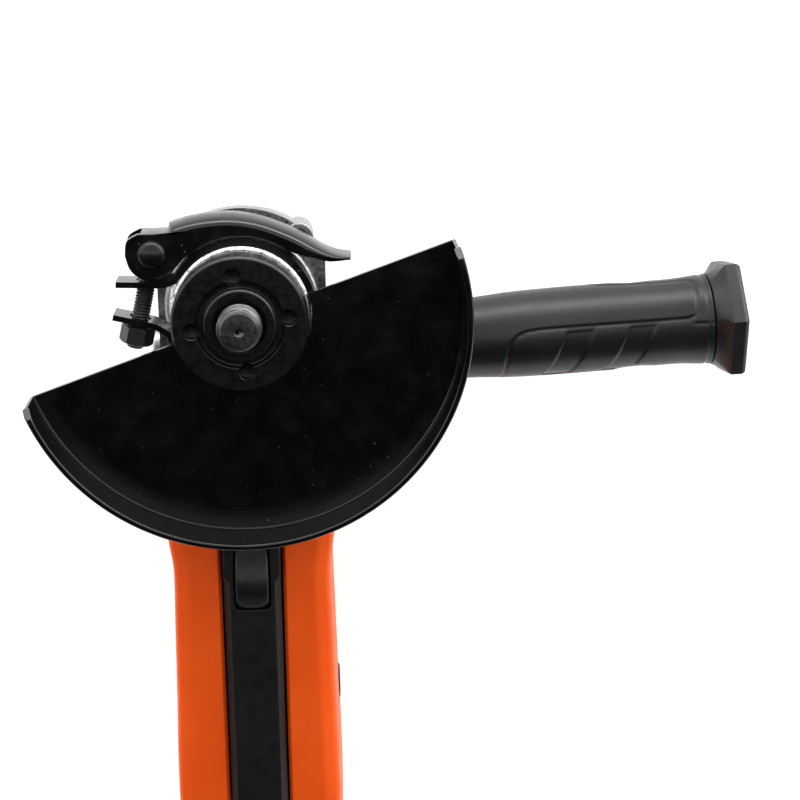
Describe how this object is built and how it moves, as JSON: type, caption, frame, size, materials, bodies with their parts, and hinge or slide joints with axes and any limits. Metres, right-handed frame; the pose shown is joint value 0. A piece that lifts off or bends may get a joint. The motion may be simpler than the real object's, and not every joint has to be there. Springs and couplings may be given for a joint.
{
  "type": "angle grinder",
  "caption": "Small corded angle grinder lying on its back: orange body, cast gear head, threaded spindle, half-round wheel guard with lever clamp, and a side handle.",
  "frame": {"origin": "on the flat outer face of the gear head, directly under the spindle axis; the tool lies on its back on this face", "axes": "+Z along the spindle toward its threaded tip, -Y along the motor body toward the cord entry, +X toward the side handle"},
  "size_m": [0.2319, 0.301, 0.096],
  "materials": {
    "orange_plastic": "fine satin moulding",
    "black_plastic": "satin moulding",
    "soft_grip": "satin",
    "black_paint": "glossy black coating",
    "black_steel": "blackened, semi-gloss",
    "cast_alloy": "blasted casting",
    "steel": "machined",
    "copper": "machined copper",
    "carbon": "pressed carbon"
  },
  "bodies": {
    "housing": {"body_shell_left": "orange_plastic", "body_shell_right": "orange_plastic", "back_spine": "black_plastic", "switch_tray": "black_plastic", "rear_cover": "black_plastic", "brush_cap_left": "black_plastic", "brush_cap_right": "black_plastic", "air_baffle": "black_plastic", "switch_module": "black_plastic", "cord_gland": "soft_grip", "cover_screw_1": "black_steel", "cover_screw_2": "black_steel", "cover_screw_3": "black_steel", "cover_screw_4": "black_steel", "shell_screw_1": "black_steel", "shell_screw_2": "black_steel", "shell_screw_3": "black_steel", "shell_screw_4": "black_steel", "gear_housing": "cast_alloy", "bearing_cover": "cast_alloy", "bearing_plate": "cast_alloy", "spindle_bearing_top": "steel", "spindle_bearing_bottom": "steel", "stator": "steel", "motor_bearing_front": "steel", "motor_bearing_rear": "steel", "brush_left": "carbon", "brush_right": "carbon"},
    "guard": {"guard": "black_paint", "clamp_band": "black_paint", "clamp_stud": "black_steel", "pivot_pin": "black_steel"},
    "clamp_lever": {"clamp_lever": "black_paint"},
    "adjusting_nut": {"adjusting_nut": "black_steel"},
    "spindle": {"spindle": "steel", "crown_gear": "steel", "backing_flange": "black_steel"},
    "clamp_nut": {"clamp_nut": "black_steel"},
    "rotor": {"motor_shaft": "steel", "armature_core": "steel", "commutator": "copper", "cooling_fan": "black_plastic", "pinion": "steel"},
    "lock_button": {"lock_button": "black_plastic"},
    "paddle": {"paddle_switch": "black_plastic"},
    "lock_off_tongue": {"lock_off_tongue": "black_plastic"},
    "side_handle": {"handle_stud": "steel", "handle_collar": "steel", "handle_grip": "soft_grip", "handle_end_cap": "black_plastic"}
  },
  "joints": [
    {"name": "spindle_spin", "type": "hinge", "parent": "housing", "child": "spindle", "pos_m": [0, 0, 0.05], "axis": [0, 0, 1], "continuous": true},
    {"name": "rotor_spin", "type": "hinge", "parent": "housing", "child": "rotor", "pos_m": [0, -0.1, 0.031], "axis": [0, 1, 0], "continuous": true},
    {"name": "clamp_nut_turn", "type": "hinge", "parent": "spindle", "child": "clamp_nut", "pos_m": [0, 0, 0.083], "axis": [0, 0, 1], "continuous": true},
    {"name": "guard_turn", "type": "hinge", "parent": "housing", "child": "guard", "pos_m": [0, 0, 0.068], "axis": [0, 0, 1], "range_deg": [-60, 60]},
    {"name": "lever_open", "type": "hinge", "parent": "guard", "child": "clamp_lever", "pos_m": [-0.0266, 0.0196, 0.068], "axis": [0, 0, 1], "range_deg": [0, 90]},
    {"name": "adjusting_nut_turn", "type": "hinge", "parent": "guard", "child": "adjusting_nut", "pos_m": [-0.0331, -0.00815, 0.068], "axis": [-0.228, -0.9737, 0], "continuous": true},
    {"name": "lock_button_press", "type": "slide", "parent": "housing", "child": "lock_button", "axis": [0, 0, 1], "range_m": [0, 0.0025], "stiffness_N_per_m": 600, "springref_m": -0.004},
    {"name": "paddle_press", "type": "hinge", "parent": "housing", "child": "paddle", "pos_m": [0, -0.183, 0.059], "axis": [-1, 0, 0], "range_deg": [0, 1.9], "stiffness_Nm_per_rad": 2, "springref_deg": -3.44},
    {"name": "lock_off_tilt", "type": "hinge", "parent": "paddle", "child": "lock_off_tongue", "pos_m": [0, -0.091, 0.0616], "axis": [-1, 0, 0], "range_deg": [0, 5.5], "stiffness_Nm_per_rad": 0.06, "springref_deg": -17.19},
    {"name": "side_handle_turn", "type": "hinge", "parent": "housing", "child": "side_handle", "pos_m": [0.0306, -0.0208, 0.034], "axis": [0.9984, 0.0558, 0], "continuous": true}
  ],
  "couplings": [
    {"joint": "spindle_spin", "follows": "rotor_spin", "ratio": -0.33333}
  ]
}
